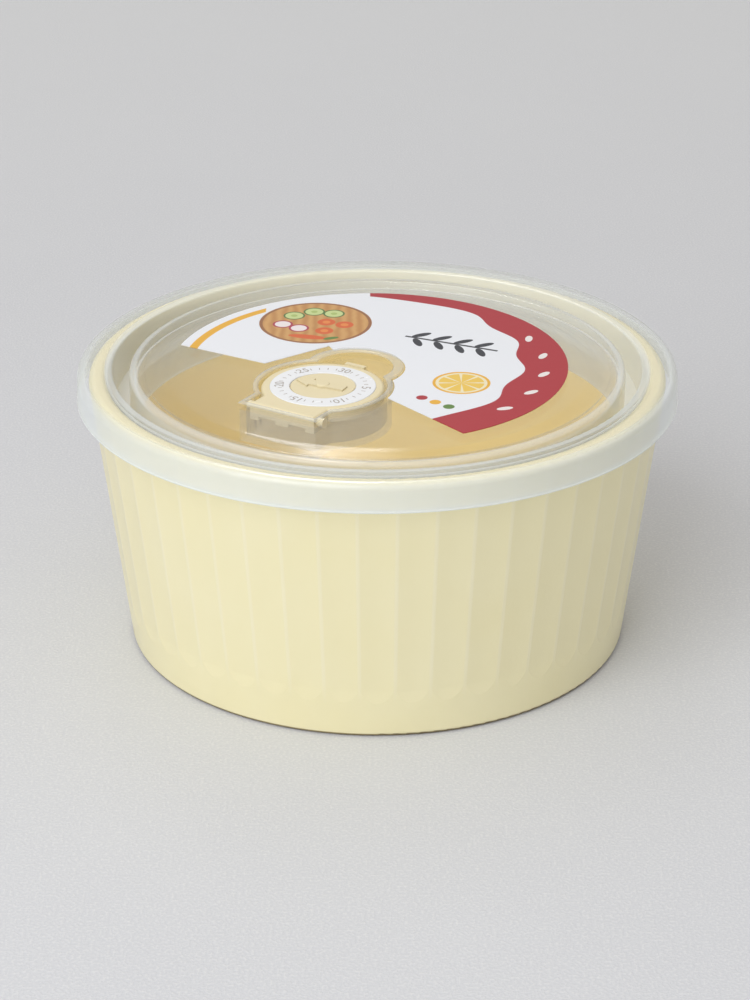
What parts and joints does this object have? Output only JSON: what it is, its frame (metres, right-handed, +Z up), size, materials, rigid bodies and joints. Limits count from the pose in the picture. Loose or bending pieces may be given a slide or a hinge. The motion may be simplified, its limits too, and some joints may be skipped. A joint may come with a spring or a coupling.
{
  "type": "food storage container with vented lid",
  "caption": "Round fluted ceramic bowl with a translucent snap lid; a hinged steam cap in the lid carries a number ring and a turning date pointer.",
  "frame": {"origin": "centre of the foot ring, on the surface the bowl stands on", "axes": "+Z up along the bowl's axis; the lid's vent lies towards -X and -Y, its hinge on the far side of it from the axis"},
  "size_m": [0.16, 0.16, 0.0766],
  "materials": {
    "glazed_ceramic": "glossy pale yellow glaze",
    "lid_plastic": "milky translucent, satin",
    "cap_plastic": "satin cream",
    "ring_plastic": "white with printed numbers",
    "silicone": "soft, milky",
    "label_film": "printed film"
  },
  "bodies": {
    "bowl": {"bowl": "glazed_ceramic"},
    "lid": {"lid": "lid_plastic", "label": "label_film"},
    "vent_cap": {"vent_cap": "cap_plastic", "number_ring": "ring_plastic", "vent_seal": "silicone"},
    "date_pointer": {"date_pointer": "cap_plastic"}
  },
  "joints": [
    {"name": "lid_lift", "type": "slide", "parent": "bowl", "child": "lid", "axis": [0, 0, 1], "range_m": [0, 0.06]},
    {"name": "vent_hinge", "type": "hinge", "parent": "lid", "child": "vent_cap", "pos_m": [-0.02321, -0.03062, 0.07393], "axis": [0.848, -0.5299, 0], "range_deg": [0, 100]},
    {"name": "date_dial", "type": "hinge", "parent": "vent_cap", "child": "date_pointer", "pos_m": [-0.0142, -0.0162, 0.07553], "axis": [0, 0, 1], "continuous": true}
  ]
}
